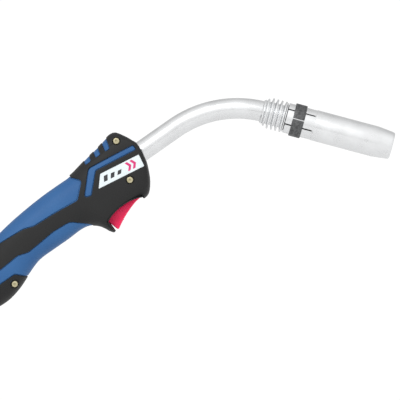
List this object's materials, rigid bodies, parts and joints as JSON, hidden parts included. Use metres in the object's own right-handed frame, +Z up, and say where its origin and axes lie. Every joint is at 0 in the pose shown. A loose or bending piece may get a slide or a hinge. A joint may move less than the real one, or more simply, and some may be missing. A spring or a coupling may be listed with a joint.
{
  "type": "mig welding torch",
  "caption": "Hand-held welding torch with a two-shell soft-skinned grip, sprung trigger, bent metal neck, finned head and a push-on tapered gas nozzle.",
  "frame": {"origin": "centre of the mouth of the cable port at the rear of the handle", "axes": "+X forward along the straight part of the neck, +Z up over the top of the grip, Y = 0 is the plane where the two handle shells meet"},
  "size_m": [0.3453, 0.038, 0.1425],
  "materials": {
    "blue_shell": "moulded glass-filled nylon, satin",
    "soft_grip": "moulded thermoplastic rubber, fine matt texture",
    "badge": "printed polycarbonate label, semi-gloss",
    "zinc_screw": "yellow zinc-plated steel",
    "brass": "turned brass",
    "black_plastic": "moulded nylon",
    "black_rubber": "moulded rubber",
    "satin_metal": "satin nickel-plated brass",
    "insulation": "glass-filled insulating tube",
    "copper": "drawn copper",
    "liner_steel": "wound spring-steel wire",
    "white_plastic": "moulded insulating resin",
    "ceramic": "fired ceramic",
    "lead_sleeve": "extruded PVC wire sleeve",
    "pin_steel": "ground steel",
    "red_plastic": "moulded nylon, satin",
    "nozzle_metal": "satin nickel-plated copper",
    "band_steel": "blackened spring steel"
  },
  "bodies": {
    "handle": {"shell_right": "blue_shell", "shell_left": "blue_shell", "grip_skin_right": "soft_grip", "grip_skin_left": "soft_grip", "badge_right": "badge", "badge_left": "badge", "handle_screws": "zinc_screw", "screw_inserts": "brass", "cable_collar": "black_plastic", "neck_grommet": "black_rubber", "neck_jacket": "satin_metal", "neck_insulation": "insulation", "neck_conductor": "copper", "wire_liner": "liner_steel", "torch_body": "brass", "neck_nut": "brass", "finned_head": "satin_metal", "nozzle_insulator": "black_plastic", "tip_adapter": "brass", "gas_diffuser": "ceramic", "contact_tip": "copper", "switch_body": "black_plastic", "switch_terminals": "brass", "switch_leads": "lead_sleeve", "lead_connectors": "white_plastic", "trigger_pin": "pin_steel", "trigger_spring": "pin_steel"},
    "trigger": {"trigger": "red_plastic"},
    "plunger": {"switch_plunger": "white_plastic"},
    "nozzle": {"gas_nozzle": "nozzle_metal", "nozzle_band": "band_steel"}
  },
  "joints": [
    {"name": "trigger_press", "type": "hinge", "parent": "handle", "child": "trigger", "pos_m": [0.1495, 0, -0.0085], "axis": [0, 1, 0], "range_deg": [0, 8], "stiffness_Nm_per_rad": 1.2, "springref_deg": -4.58, "deforming": ["trigger_spring"]},
    {"name": "plunger_slide", "type": "slide", "parent": "handle", "child": "plunger", "axis": [0, 0, 1], "range_m": [0, 0.0013]},
    {"name": "nozzle_pull", "type": "slide", "parent": "handle", "child": "nozzle", "axis": [0.6428, 0, -0.766], "range_m": [0, 0.09]}
  ],
  "couplings": [
    {"joint": "plunger_slide", "follows": "trigger_press", "m_per_rad": 0.0088}
  ]
}
